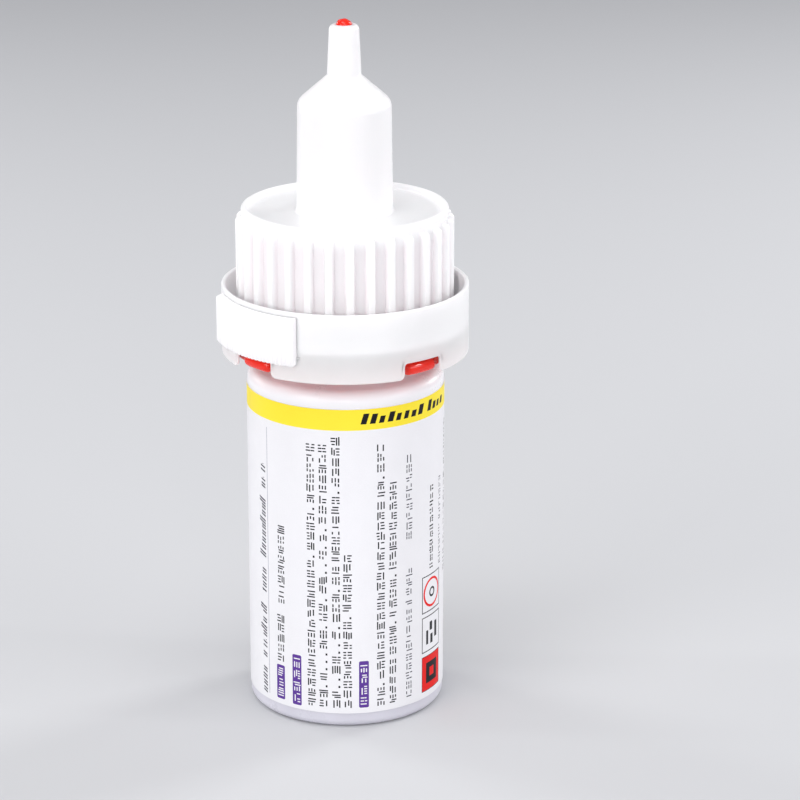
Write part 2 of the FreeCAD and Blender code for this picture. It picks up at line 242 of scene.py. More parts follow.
def node(tree, kind, inputs=None, **settings):
    """A shader node, with each input linked or set by name."""
    made = tree.nodes.new("ShaderNode" + kind)
    for key, value in settings.items():
        setattr(made, key, value)
    for key, value in (inputs or {}).items():
        if isinstance(value, bpy.types.NodeSocket):
            tree.links.new(value, made.inputs[key])
        else:
            made.inputs[key].default_value = value
    return made


def noise(tree, vector, scale, detail=3.0, roughness=0.55, stretch=None):
    """Noise from 0 to 1, stretched along an axis where its factor is small."""
    if stretch:
        vector = node(tree, "Mapping", {"Vector": vector, "Scale": stretch}).outputs[0]
    settings = {"Vector": vector, "Scale": scale, "Detail": detail, "Roughness": roughness}
    return node(tree, "TexNoise", settings).outputs[0]


def spread(tree, value, low, high, to_low, to_high, smooth=False):
    """The value carried from one range to another, clamped at both ends."""
    kind = "SMOOTHSTEP" if smooth else "LINEAR"
    ends = {"From Min": low, "From Max": high, "To Min": to_low, "To Max": to_high}
    return node(tree, "MapRange", {"Value": value, **ends}, interpolation_type=kind).outputs[0]


def maths(tree, operation, first, second=0.0):
    """One operation on sockets or plain numbers."""
    made = node(tree, "Math", operation=operation)
    for place, value in enumerate((first, second)):
        if isinstance(value, bpy.types.NodeSocket):
            tree.links.new(value, made.inputs[place])
        else:
            made.inputs[place].default_value = value
    return made.outputs[0]


def mix(tree, factor, first, second):
    """The first colour, giving way to the second as the factor rises."""
    made = node(tree, "Mix", data_type="RGBA")
    for place, value in ((0, factor), (6, first), (7, second)):
        if isinstance(value, bpy.types.NodeSocket):
            tree.links.new(value, made.inputs[place])
        else:
            made.inputs[place].default_value = value if place == 0 else (*value, 1.0)
    return made.outputs[2]


def coordinates(tree):
    """The object's own coordinates, in metres, so that a pattern moves with its piece."""
    return node(tree, "TexCoord").outputs["Object"]


GRAIN_DEPTH = 0.00004  # metres
INK_DEPTH = 0.00005
DRAWN_DEPTH = 0.00001


def add_bump(tree, shader, height, strength, depth):
    """Fine relief of the height, on the shader's normal."""
    bump = node(tree, "Bump", {"Strength": strength, "Distance": depth, "Height": height})
    tree.links.new(bump.outputs[0], shader.inputs["Normal"])


def finish_plastic(tree, shader, place, colour, rough, rough_span, grain, grain_scale, scuff=0.0):
    """Mottled colour, uneven gloss, fine moulded grain and faint scuffs for a plastic surface."""
    tree.links.new(colour, shader.inputs["Base Color"])
    cloud = noise(tree, place, 160.0, 2.0)
    fine = noise(tree, place, grain_scale, 4.0, 0.6)
    uneven = maths(tree, "ADD", cloud, maths(tree, "MULTIPLY", fine, 0.4))
    gloss = spread(tree, uneven, 0.5, 0.9, rough - rough_span, rough + rough_span)
    tree.links.new(gloss, shader.inputs["Roughness"])
    height = maths(tree, "ADD", maths(tree, "MULTIPLY", cloud, 2.5), fine)
    if scuff:
        streak = noise(tree, place, 420.0, 2.0, 0.5, (1.0, 1.0, 0.14))
        line = spread(tree, streak, 0.66, 0.72, 0.0, 1.0)
        height = maths(tree, "SUBTRACT", height, maths(tree, "MULTIPLY", line, scuff))
    add_bump(tree, shader, height, grain, GRAIN_DEPTH)


def plastic(name, light, dark, rough, rough_span, grain, grain_scale, scuff=0.0,
            glow=(1.0, 0.95, 0.93), **sockets):
    """Moulded plastic whose colour drifts slightly between two tones."""
    material, tree, shader = new_material(name, **sockets)
    shader.inputs["Subsurface Radius"].default_value = glow
    place = coordinates(tree)
    drift = spread(tree, noise(tree, place, 95.0, 3.0), 0.35, 0.65, 0.0, 1.0, True)
    colour = mix(tree, drift, light, dark)
    finish_plastic(tree, shader, place, colour, rough, rough_span, grain, grain_scale, scuff)
    return material


def height_and_radius(tree, place):
    """Height and distance from the bottle's axis, in metres."""
    parts = node(tree, "SeparateXYZ", {"Vector": place})
    across = maths(tree, "POWER", parts.outputs[0], 2.0)
    along = maths(tree, "POWER", parts.outputs[1], 2.0)
    return parts.outputs[2], maths(tree, "SQRT", maths(tree, "ADD", across, along))


def band(tree, height, low, high, soft):
    """1 between two heights in millimetres and 0 outside, with soft ends."""
    rise = spread(tree, height, (low - soft) * MM, (low + soft) * MM, 0.0, 1.0, True)
    fall = spread(tree, height, (high - soft) * MM, (high + soft) * MM, 1.0, 0.0, True)
    return maths(tree, "MULTIPLY", rise, fall)


# ---------------------------------------------------------------- materials

SHELL_LIGHT = (0.92, 0.905, 0.913)
SHELL_DARK = (0.90, 0.888, 0.898)
SHELL_PAINTED_ROSE = (0.895, 0.815, 0.84)  # painted rose light, standing for the red cap's light coming through the thin wall
GROOVE_PAINTED_ROSE = 0.75
GROOVE_FLOOR, RIB_SIDE = 0.01425, 0.01485  # metres from the axis
WALL_INSIDE, WALL_OUTSIDE = 0.0138, 0.0141
GROOVE_HEIGHTS = (57.5, 69.3)
SPIRE_PAINTED_ROSE = 0.28
SPIRE_HEIGHTS = (74.0, 97.0)
# painted shade: the body below the label is a darker copy of the plastic above it
BODY_SHADED_LIGHT = (0.66, 0.65, 0.72)
BODY_SHADED_DARK = (0.625, 0.615, 0.685)
BODY_UPPER_PAINTED_LIGHT = (0.92, 0.925, 0.965)
PAINTED_LIGHT_HEIGHTS = (46.0, 70.0)  # painted light: a lighter copy of the body's plastic, from behind the label's top edge to past the neck, to lift the shade under the shell
RED_LIGHT = (0.88, 0.022, 0.006)
RED_DARK = (0.80, 0.014, 0.004)
NATURAL_LIGHT = (0.83, 0.83, 0.80)
NATURAL_DARK = (0.78, 0.78, 0.745)
GLUE_LIGHT = (0.88, 0.86, 0.79)
GLUE_DARK = (0.84, 0.82, 0.74)
FOAM_LIGHT = (0.86, 0.86, 0.83)
FOAM_DARK = (0.74, 0.74, 0.71)
STEEL_LIGHT = (0.62, 0.62, 0.63)
STEEL_DARK = (0.48, 0.48, 0.50)


def shell_material(name, scatter):
    """White polypropylene, with painted rose light in the rib grooves and on the spire for the red
    cap's light coming through the thin wall.
    """
    material, tree, shader = new_material(
        name, Subsurface_Weight=scatter, Subsurface_Scale=0.002, IOR=1.49,
        Specular_IOR_Level=0.4, Coat_Weight=0.06, Coat_Roughness=0.2,
    )
    shader.inputs["Subsurface Radius"].default_value = (1.0, 0.93, 0.94)
    place = coordinates(tree)
    height, radius = height_and_radius(tree, place)
    drift = spread(tree, noise(tree, place, 80.0, 3.0), 0.35, 0.65, 0.0, 1.0, True)
    white = mix(tree, drift, SHELL_LIGHT, SHELL_DARK)
    groove = spread(tree, radius, GROOVE_FLOOR, RIB_SIDE, 1.0, 0.0, True)
    outside = spread(tree, radius, WALL_INSIDE, WALL_OUTSIDE, 0.0, 1.0)
    groove = maths(tree, "MULTIPLY", groove, outside)
    groove = maths(tree, "MULTIPLY", groove, band(tree, height, *GROOVE_HEIGHTS, 0.9))
    # painted rose light: a pink tint in the grooves and on the spire, laid over the scattering
    # that already carries the red
    groove_rose_light = maths(tree, "MULTIPLY", groove, GROOVE_PAINTED_ROSE)
    spire = maths(tree, "MULTIPLY", band(tree, height, *SPIRE_HEIGHTS, 2.5), SPIRE_PAINTED_ROSE)
    painted_rose = maths(tree, "MAXIMUM", groove_rose_light, spire)
    patches = spread(tree, noise(tree, place, 60.0, 2.0), 0.3, 0.7, 0.6, 1.0)
    painted_rose = maths(tree, "MULTIPLY", painted_rose, patches)
    colour = mix(tree, painted_rose, white, SHELL_PAINTED_ROSE)
    finish_plastic(tree, shader, place, colour, 0.36, 0.05, 0.22, 4200.0, 0.5)
    return material


def bottle_material():
    """Milky blow-moulded polyethylene with soft flow marks. Painted shade makes it darker below
    the label and painted light makes it lighter above, as shaded and lit copies of one plastic.
    """
    material, tree, shader = new_material(
        "body_white", Subsurface_Weight=0.35, Subsurface_Scale=0.002, IOR=1.5,
        Specular_IOR_Level=0.4,
    )
    shader.inputs["Subsurface Radius"].default_value = (1.0, 0.93, 0.96)
    place = coordinates(tree)
    height = height_and_radius(tree, place)[0]
    flow = noise(tree, place, 70.0, 3.0, 0.5, (1.0, 1.0, 0.35))
    milky_shaded = mix(tree, spread(tree, flow, 0.35, 0.65, 0.0, 1.0, True), BODY_SHADED_LIGHT, BODY_SHADED_DARK)
    # painted light above the label, over the painted shade below it
    colour = mix(tree, band(tree, height, *PAINTED_LIGHT_HEIGHTS, 0.8), milky_shaded, BODY_UPPER_PAINTED_LIGHT)
    finish_plastic(tree, shader, place, colour, 0.3, 0.05, 0.22, 3600.0, 0.3)
    return material


def printed(name, colour, rough=0.46, deep=None):
    """Printed film: slightly uneven ink over a faint film texture."""
    material, tree, shader = new_material(name, IOR=1.45, Specular_IOR_Level=0.22)
    place = coordinates(tree)
    speckle = noise(tree, place, 9000.0, 3.0, 0.7)
    cloud = noise(tree, place, 240.0, 2.0)
    share = maths(tree, "ADD", speckle, maths(tree, "MULTIPLY", cloud, 0.5))
    share = spread(tree, share, 0.6, 0.95, 0.0, 1.0, True)
    second = deep or tuple(c * 0.965 for c in colour)
    tree.links.new(mix(tree, share, colour, second), shader.inputs["Base Color"])
    gloss = spread(tree, cloud, 0.3, 0.7, rough - 0.05, rough + 0.05)
    tree.links.new(gloss, shader.inputs["Roughness"])
    ripple = noise(tree, place, 150.0, 2.0, 0.4, (1.0, 1.0, 0.5))
    ripple = maths(tree, "MULTIPLY", ripple, 3.0)
    height = maths(tree, "ADD", ripple, maths(tree, "MULTIPLY", speckle, 0.3))
    add_bump(tree, shader, height, 0.12, INK_DEPTH)
    return material


def foam_material():
    """Soft foamed polyethylene with fine cells."""
    material, tree, shader = new_material("seal_foam", IOR=1.4, Specular_IOR_Level=0.3,
                                          Sheen_Weight=0.1)
    place = coordinates(tree)
    cells = node(tree, "TexVoronoi", {"Vector": place, "Scale": 3800.0}).outputs["Distance"]
    colour = mix(tree, spread(tree, cells, 0.2, 0.7, 0.0, 1.0), FOAM_LIGHT, FOAM_DARK)
    tree.links.new(colour, shader.inputs["Base Color"])
    tree.links.new(spread(tree, cells, 0.0, 0.8, 0.55, 0.8), shader.inputs["Roughness"])
    add_bump(tree, shader, cells, 0.5, GRAIN_DEPTH)
    return material


def steel_material():
    """Wire with fine drawing lines along it."""
    material, tree, shader = new_material("pin_steel", Metallic=1.0, IOR=2.5)
    place = coordinates(tree)
    drawn = noise(tree, place, 9000.0, 3.0, 0.6, (1.0, 1.0, 0.04))
    tree.links.new(mix(tree, drawn, STEEL_LIGHT, STEEL_DARK), shader.inputs["Base Color"])
    tree.links.new(spread(tree, drawn, 0.3, 0.7, 0.18, 0.38), shader.inputs["Roughness"])
    add_bump(tree, shader, drawn, 0.2, DRAWN_DEPTH)
    return material


shell_white = shell_material("shell_white", 0.75)
# the pads overlap the ring's wall, where scattered light would be lost in a dark outline
shell_pads = shell_material("shell_white_pads", 0.0)
body_white = bottle_material()
cap_red = plastic(
    "cap_red", RED_LIGHT, RED_DARK, rough=0.11, rough_span=0.03, grain=0.18, grain_scale=2600.0,
    scuff=0.3, glow=(1.0, 0.3, 0.2), Subsurface_Weight=0.15, Subsurface_Scale=0.0008, IOR=1.49,
    Specular_IOR_Level=0.42, Coat_Weight=0.15, Coat_Roughness=0.08,
)
nozzle_natural = plastic(
    "nozzle_natural", NATURAL_LIGHT, NATURAL_DARK, rough=0.34, rough_span=0.05, grain=0.2,
    grain_scale=4600.0, scuff=0.3, Subsurface_Weight=0.5, Subsurface_Scale=0.003, IOR=1.51,
)
glue_clear = plastic(
    "glue", GLUE_LIGHT, GLUE_DARK, rough=0.08, rough_span=0.03, grain=0.1, grain_scale=900.0,
    Transmission_Weight=0.6, IOR=1.47,
)
seal_foam = foam_material()
pin_steel = steel_material()
INKS = {
    "film": printed("label_film_white", (0.83, 0.825, 0.85), 0.4),
    "yellow": printed("ink_yellow", (0.95, 0.785, 0.045), 0.42, (0.93, 0.755, 0.04)),
    "black": printed("ink_black", (0.008, 0.008, 0.012)),
    "grey": printed("ink_grey", (0.035, 0.035, 0.055)),
    "purple": printed("ink_purple", (0.115, 0.045, 0.30), 0.46, (0.10, 0.038, 0.27)),
    "red": printed("ink_red", (0.78, 0.009, 0.007)),
    "silver": printed("ink_silver", (0.33, 0.33, 0.40)),
}
INK_ORDER = list(INKS)

# ---------------------------------------------------------------- bottle body

LABEL_THICK = 0.1
BODY_RADIUS = LABEL_HIGH[0] - LABEL_THICK
BODY_WALL = 0.9
BODY_FLOOR = 1.9  # height of the floor's upper face
FOOT = 9.6  # inner radius of the ring that the bottle stands on
FOOT_RECESS = 0.7
SHOULDER = 48.9
NECK = 10.2
NECK_BORE = 9.0
NECK_TOP = BODY_HIGH[2]
NECK_BEAD = 52.5
BEAD_PROUD = 0.7
THREAD_START = 58.5
PARTING_AZIMUTH = 96.0
SEAM_PROUD = 0.05


def body_outline():
    inner = BODY_RADIUS - BODY_WALL
    wall = [(BODY_RADIUS, height) for height in (2.4, 10.0, 20.0, 30.0, 40.0, 46.0)]
    return rounded([
        (0.0, FOOT_RECESS), (FOOT - FOOT_RECESS, FOOT_RECESS, 0.4), (FOOT, 0.0, 0.35),
        (BODY_RADIUS, 0.0, 1.2), *wall, (BODY_RADIUS, SHOULDER, 1.6),
        (12.0, SHOULDER + 0.24), (NECK, SHOULDER + 0.5, 0.6), (NECK, NECK_BEAD - 0.6, 0.25),
        (NECK + BEAD_PROUD, NECK_BEAD, 0.2), (NECK, NECK_BEAD + 0.6, 0.25), (NECK, 60.0),
        (NECK, NECK_TOP, 0.22), (NECK_BORE, NECK_TOP, 0.22), (NECK_BORE, SHOULDER - 0.4, 0.5),
        (inner, SHOULDER - BODY_WALL, 0.9), (inner, BODY_FLOOR, 0.9), (0.0, BODY_FLOOR),
    ], steps=7)


def make_bottle():
    shape = Shape()
    outline = body_outline()
    ridge = np.array([-1.2, -0.7, -0.35, 0.0, 0.35, 0.7, 1.2])  # degrees about the parting line
    azimuths = [full_turn(192), PARTING_AZIMUTH + ridge, PARTING_AZIMUTH + 180 + ridge]
    azimuths = np.unique(np.round(np.concatenate(azimuths), 4))
    points = round_points(outline[:, :1], azimuths[None, :], outline[:, 1:])
    # the mould's parting line, a fine raised seam outside the label
    away = np.minimum(np.abs(azimuths - PARTING_AZIMUTH), np.abs(azimuths - PARTING_AZIMUTH - 180))
    seam = np.clip(1 - away / 0.6, 0, 1) ** 1.5 * SEAM_PROUD
    clear_of_label = (outline[:, 1] < 2.1) | (outline[:, 1] > 46.9)
    outer = (outline[:, 0] > NECK + 0.9) & clear_of_label
    lift = seam[None, :] * outer[:, None]
    angle = np.radians(azimuths)[None, :]
    points[..., 0] += lift * np.sin(angle) * 0.8
    points[..., 1] -= lift * np.cos(angle) * 0.8
    points[..., 2] += lift * 0.6 * (outline[:, 1:] > 40)
    shape.add_grid(points)
    add_helix(shape, NECK - 0.1, 11.15, THREAD_START)
    # pinched-off weld across the underside
    weld, faces = rounded_box((12.0, 0.9, 0.5), 0.2, 6)
    shape.add(weld + np.array([0, 0, 0.6]), faces)
    return shape.make("bottle_body_moulding", "bottle", [body_white],
                      ["bottle_body"])


make_bottle()

# ---------------------------------------------------------------- label

LABEL_R = LABEL_HIGH[0]
LABEL_BOTTOM, LABEL_TOP = float(LABEL_LOW[2]), float(LABEL_HIGH[2])
LABEL_HALF = math.radians(358.5 / 2) * LABEL_R
BAND_BOTTOM = 43.77  # where the yellow band starts
# a mark's outline runs anticlockwise in (arc from the front, height)
marks = []


def mark(points, ink):
    """One patch of ink on the flat label, over those before it."""
    marks.append(([tuple(p) for p in points], ink))


def bar(left, bottom, right, top, ink, slant=0.0, corner=0.0):
    """A plain bar; slant leans it along the label's height, for the sloping lines."""
    if corner:
        points = rounded([(left, bottom, corner), (right, bottom, corner), (right, top, corner),
                          (left, top, corner)], steps=3)
        mark(points, ink)
    else:
        mark([(left, bottom), (right, bottom + slant), (right, top + slant), (left, top)], ink)


DASH_PITCH = 0.4


def dash_stack(left, low, wide, high, ink, weight, thick):
    """Parallel plain dashes of uneven length that fill a patch."""
    upright = random.random() < 0.5
    span, length = (wide, high) if upright else (high, wide)
    count = max(1, round(span / DASH_PITCH))
    for k in range(count):
        middle = span * (k + 0.5) / count
        reach = length * random.uniform(0.62, 0.95)
        start = (length - reach) * random.random()
        if random.random() > weight:
            continue
        if upright:
            bar(left + middle - thick / 2, low + start, left + middle + thick / 2,
                low + start + reach, ink)
        else:
            bar(left + start, low + middle - thick / 2, left + start + reach,
                low + middle + thick / 2, ink)


def cell_marks(centre, low, size, pitch, ink, weight, thick):
    """Two stacks of plain dashes in place of one printed character."""
    wide = size * random.uniform(0.9, 1.04)
    high = pitch * random.uniform(0.82, 0.9)
    left = centre - wide / 2
    share = random.uniform(0.38, 0.62)
    if random.random() < 0.5:
        halves = ((left, low, wide * share, high),
                  (left + wide * share, low, wide * (1 - share), high))
    else:
        halves = ((left, low, wide, high * share),
                  (left, low + high * share, wide, high * (1 - share)))
    for half in halves:
        dash_stack(*half, ink, weight, thick)


def line_marks(centre, low, high, size, ink, pitch=1.47, weight=0.96, breaks=0.08, thick=0.19):
    """A line of print that runs up the label, as patches with an odd gap where a phrase ends."""
    height = low
    while height + pitch * 0.8 <= high:
        if random.random() < breaks and high - height > 3 * pitch:
            bar(centre + size * 0.22, height + 0.1, centre + size * 0.42, height + 0.42, ink)
            height += pitch * 0.75
            continue
        cell_marks(centre, height, size, pitch, ink, weight, thick)
        height += pitch


def heading(centre, low, high, width):
    """A filled heading box with plain dashes left out of it."""
    bar(centre - width / 2, low, centre + width / 2, high, "purple", corner=0.22)
    count = round((high - low) / 1.7)
    step = (high - low - 0.5) / count
    for k in range(count):
        cell_marks(centre, low + 0.32 + k * step, width * 0.76, step, "film", 0.94, 0.17)


FRAME = 0.15


def frame_box(left, low, right, high):
    bar(left, low, right, high, "black")
    bar(left + FRAME, low + FRAME, right - FRAME, high - FRAME, "film")


def disc(centre, height, radius, ink):
    """A filled circle; smaller ones over it make rings."""
    mark([(centre + radius * math.cos(a), height + radius * math.sin(a))
          for a in np.linspace(0, 2 * math.pi, 33)[:-1]], ink)


STROKE = 0.24
STROKE_REACH = 1.5
STROKE_LEAN = 0.28


def sloping_words(low, lengths, left, pitch):
    """Words of thin leaning strokes that run up the label."""
    height = low
    for count in lengths:
        for _ in range(count):
            reach = STROKE_REACH * random.choice((0.62, 0.62, 0.7, 1.0))
            for share in (0.0, 0.42):
                if random.random() < 0.92:
                    start = height + pitch * share
                    bar(left - reach, start, left, start + STROKE, "grey",
                        slant=-reach * STROKE_LEAN)
            if random.random() < 0.75:
                place = left - reach * random.uniform(0.2, 0.8)
                bar(place - STROKE / 2, height + STROKE + 0.03, place + STROKE / 2,
                    height + pitch * 0.42 - 0.03, "grey")
            height += pitch
        height += pitch * 1.25


def title_words(left, lengths, pitch):
    """Bold leaning blocks on the yellow band, in place of a title."""
    across, base, lean = left, BAND_BOTTOM + 0.85, 0.3
    for count in lengths:
        for k in range(count):
            tall = 1.5 if k == 0 else random.choice((0.9, 1.0, 1.1, 1.4))
            wide = pitch * random.uniform(0.55, 0.72)
            over = across + tall * lean
            mark([(across, base), (across + wide, base), (over + wide, base + tall),
                  (over, base + tall)], "black")
            across += pitch
        across += pitch * 0.6


def front_print():
    """The part of the print that faces forward, as generic dashes, boxes and rings."""
    bar(-LABEL_HALF, BAND_BOTTOM, LABEL_HALF, LABEL_TOP, "yellow")
    title_words(2.0, (8, 4), 1.28)
    bar(-12.53, 3.1, -12.43, 42.6, "silver")
    sloping_words(3.2, (4, 8, 4), -12.95, 1.02)
    sloping_words(23.7, (9, 4), -12.95, 0.98)
    heading(-10.1, 3.0, 8.1, 1.5)
    line_marks(-10.0, 8.6, 16.2, 1.35, "black", breaks=0.0)
    line_marks(-9.85, 17.4, 29.3, 1.35, "black", breaks=0.0)
    heading(-7.28, 2.75, 10.3, 1.45)
    line_marks(-4.98, 3.0, 42.4, 1.3, "black", breaks=0.1)
    line_marks(-3.24, 3.0, 42.7, 1.3, "black", breaks=0.22)
    line_marks(-1.45, 3.0, 43.0, 1.3, "black", breaks=0.2)
    line_marks(0.12, 3.0, 26.0, 1.3, "black", breaks=0.2)
    heading(2.4, 3.0, 10.0, 1.4)
    line_marks(4.86, 3.0, 43.0, 1.3, "black")
    line_marks(6.7, 3.1, 36.6, 1.3, "black")
    line_marks(9.4, 3.2, 23.6, 1.25, "grey", pitch=1.4, weight=0.9, thick=0.16)
    line_marks(9.36, 26.9, 39.9, 1.25, "grey", pitch=1.4, weight=0.9, breaks=0.05, thick=0.16)
    line_marks(14.25, 21.2, 34.7, 1.05, "black", pitch=1.15, weight=1.0, breaks=0.0, thick=0.22)
    line_marks(17.0, 21.0, 34.6, 0.9, "grey", pitch=0.95, weight=0.8, breaks=0.05, thick=0.16)
    line_marks(19.8, 19.0, 42.0, 1.1, "black", pitch=1.15, weight=0.85, breaks=0.05)
    bar(12.0, 3.1, 17.0, 8.4, "black")
    bar(12.1, 3.2, 16.9, 8.3, "red")
    bar(13.0, 4.2, 16.0, 7.3, "black")
    bar(13.9, 5.1, 15.1, 6.4, "red")
    frame_box(12.0, 9.0, 17.0, 14.35)
    bar(13.0, 10.1, 13.5, 12.2, "black")
    bar(14.1, 10.0, 14.75, 11.4, "black")
    bar(13.9, 12.0, 14.6, 13.3, "black")
    bar(15.3, 10.6, 16.0, 13.0, "black")
    frame_box(12.0, 14.95, 17.0, 20.45)
    disc(14.5, 17.7, 2.2, "red")
    disc(14.5, 17.7, 1.84, "film")
    disc(14.5, 17.7, 0.75, "black")
    disc(14.5, 17.7, 0.45, "film")


def back_print():
    """The part of the print that faces away: a plain panel and a few lines."""
    bar(24.5, 4.0, 38.5, 40.5, "purple", corner=0.5)
    bar(24.8, 4.3, 38.2, 40.2, "film", corner=0.3)
    bar(24.8, 32.0, 38.2, 40.2, "yellow", corner=0.3)
    for k, length in enumerate((9.4, 10.6, 7.2)):
        bar(26.2, 37.4 - k * 2.1, 26.2 + length, 38.4 - k * 2.1, "black", corner=0.2)
    for k in range(13):
        length = random.uniform(7.0, 10.6)
        bar(26.2, 29.6 - k * 1.9, 26.2 + length, 30.25 - k * 1.9, "grey", corner=0.15)
    for k in range(5):
        high, ink = random.uniform(26.0, 42.0), "black" if k % 2 else "grey"
        line_marks(-22.6 - k * 2.2, 3.2, high, 1.2, ink, pitch=1.3, weight=0.85)
    heading(-34.0, 3.0, 13.0, 1.5)
    for k in range(3):
        high = random.uniform(24.0, 40.0)
        line_marks(-36.2 - k * 2.0, 3.2, high, 1.2, "black", pitch=1.3, weight=0.85)


LABEL_COLUMNS = 240  # upright cuts that let the flat label bend round the bottle


def label_cells():
    """The flat label cut along every mark's edge: points, triangles and each triangle's ink."""
    points, faces, inks = [], [], []

    def face(outline, ink):
        start = len(points)
        points.extend(outline)
        faces.append(list(range(start, start + len(outline))))
        inks.append(INK_ORDER.index(ink))

    face([(-LABEL_HALF, LABEL_BOTTOM), (LABEL_HALF, LABEL_BOTTOM), (LABEL_HALF, LABEL_TOP),
          (-LABEL_HALF, LABEL_TOP)], "film")
    for outline, ink in marks:
        face(outline, ink)
    edges = []
    for k in range(1, LABEL_COLUMNS):
        across = -LABEL_HALF + 2 * LABEL_HALF * k / LABEL_COLUMNS
        edges.append((len(points), len(points) + 1))
        points.extend([(across, LABEL_BOTTOM), (across, LABEL_TOP)])
    corners, _, triangles, _, _, origins = delaunay_2d_cdt(
        [Vector(p) for p in points], edges, faces, 1, 1e-5, True)
    # where marks overlap, the one drawn last shows
    shown = [inks[max(origin) if origin else 0] for origin in origins]
    return np.array([tuple(v) for v in corners]), [list(t) for t in triangles], shown


def make_label():
    shape = Shape()
    flat, triangles, inks = label_cells()
    azimuth = np.degrees(flat[:, 0] / LABEL_R)
    outer = round_points(LABEL_R, azimuth, flat[:, 1])
    inner = round_points(LABEL_R - LABEL_THICK, azimuth, flat[:, 1])
    count = len(outer)
    links = dict.fromkeys(
        (a, face[(k + 1) % len(face)]) for face in triangles for k, a in enumerate(face))
    rim = [(a, b) for a, b in links if (b, a) not in links]
    shape.points = np.concatenate([outer, inner]).tolist()
    shape.faces = list(triangles)
    shape.slots = list(inks)
    for face in triangles:
        shape.faces.append([i + count for i in reversed(face)])
        shape.slots.append(0)
    for a, b in rim:
        shape.faces.append([b, a, a + count, b + count])
        shape.slots.append(0)
    return shape.make("label_printed_film", "bottle",
                      [INKS[name] for name in INK_ORDER], ["label"])


front_print()
back_print()
make_label()

# ---------------------------------------------------------------- nozzle and sealing ring

PLUG = 8.1  # inner radius of the plug in the neck
FLANGE = 10.1
SPOUT_FOOT = NECK_TOP + 1.2
TIP = 2.0
TIP_TOP = 86.5
TIP_BORE = 0.55
SEAL_BORE = 4.6


def make_nozzle():
    shape = Shape()
    add_turned(shape, rounded([
        (PLUG, 61.0, 0.15), (NECK_BORE, 61.0, 0.3), (NECK_BORE, NECK_TOP),
        (FLANGE, NECK_TOP, 0.12), (FLANGE, SPOUT_FOOT, 0.3), (7.0, SPOUT_FOOT),
        (3.8, SPOUT_FOOT, 0.8), (TIP, 79.0, 2.5), (TIP, TIP_TOP, 0.35), (TIP_BORE, TIP_TOP, 0.12),
        (TIP_BORE, 83.0), (2.9, NECK_TOP, 0.3), (PLUG, NECK_TOP, 0.3),
    ], steps=6), 144)
    return shape.make("nozzle_moulding", "bottle", [nozzle_natural], ["nozzle"])


def make_seal():
    shape = Shape()
    low, high = float(SEAL_LOW[2]), float(SEAL_HIGH[2])
    outer = float(SEAL_HIGH[0])
    add_turned(shape, rounded([
        (SEAL_BORE, low, 0.15), (outer, low, 0.15), (outer, high, 0.15), (8.0, high),
        (SEAL_BORE, high, 0.15),
    ], steps=4), 144)
    return shape.make("sealing_ring", "seal_ring", [seal_foam], ["cap_seal"])


make_nozzle()
make_seal()

# ---------------------------------------------------------------- inner cap

RIM = 15.8
RIM_TOP = 54.9
LUG_BOTTOM = float(CAP_LOW[2])
RIM_BOTTOM = LUG_BOTTOM + 0.42
LUG_FACE = 16.3
LUG_SIZE = (5.5, 1.9, 1.8)
LUG_EDGE = 0.84
FIRST_LUG = 40.3
SKIRT = 12.6
SKIRT_BORE = 11.45
SNAP = 62.0  # height of the ridge that holds the shell on
PLATE = float(SEAL_HIGH[2]) + 0.1
PLATE_TOP = PLATE + 1.1
STEM = 1.05
STEM_FOOT = 95.6
STEM_CORE = 96.2
DOME_FOOT = 96.82
NOSE_TOP = float(SHELL_HIGH[2])


def make_inner_cap():
    shape = Shape()
    add_turned(shape, rounded([
        (SKIRT_BORE, 53.9, 0.3), (14.9, 53.9, 0.25), (14.9, RIM_BOTTOM, 0.2),
        (RIM, RIM_BOTTOM, 0.3), (RIM, RIM_TOP, 0.35), (SKIRT, RIM_TOP, 0.3), (SKIRT, SNAP - 0.4),
        (SKIRT + 0.5, SNAP, 0.2), (SKIRT, SNAP + 0.4), (SKIRT, PLATE_TOP, 0.4),
        (5.2, PLATE_TOP, 0.4), (5.05, 85.7, 0.6), (STEM, 89.6, 0.3), (STEM, STEM_CORE),
        (0.0, STEM_CORE), (0.0, 89.5), (0.35, 89.5), (0.35, 87.0), (2.4, 87.0, 0.3),
        (4.0, 85.4, 0.5), (4.2, PLATE, 0.4), (SKIRT_BORE, PLATE, 0.4),
    ], steps=5), 192)
    add_helix(shape, 11.55, 10.5, THREAD_START - 1.5)
    for k in range(4):
        lug, faces = rounded_box(LUG_SIZE, LUG_EDGE, 14)
        lug[:, 1] += LUG_SIZE[1] / 2 - np.sqrt(LUG_FACE ** 2 - lug[:, 0] ** 2)
        lug[:, 2] += LUG_BOTTOM + LUG_SIZE[2] / 2
        turn = np.array(Matrix.Rotation(math.radians(FIRST_LUG + 90 * k), 3, "Z"))
        shape.add(lug @ turn.T, faces)
    add_torn_stem(shape)
    return shape.make("inner_cap_moulding", "screw_cap", [cap_red], ["inner_cap"])


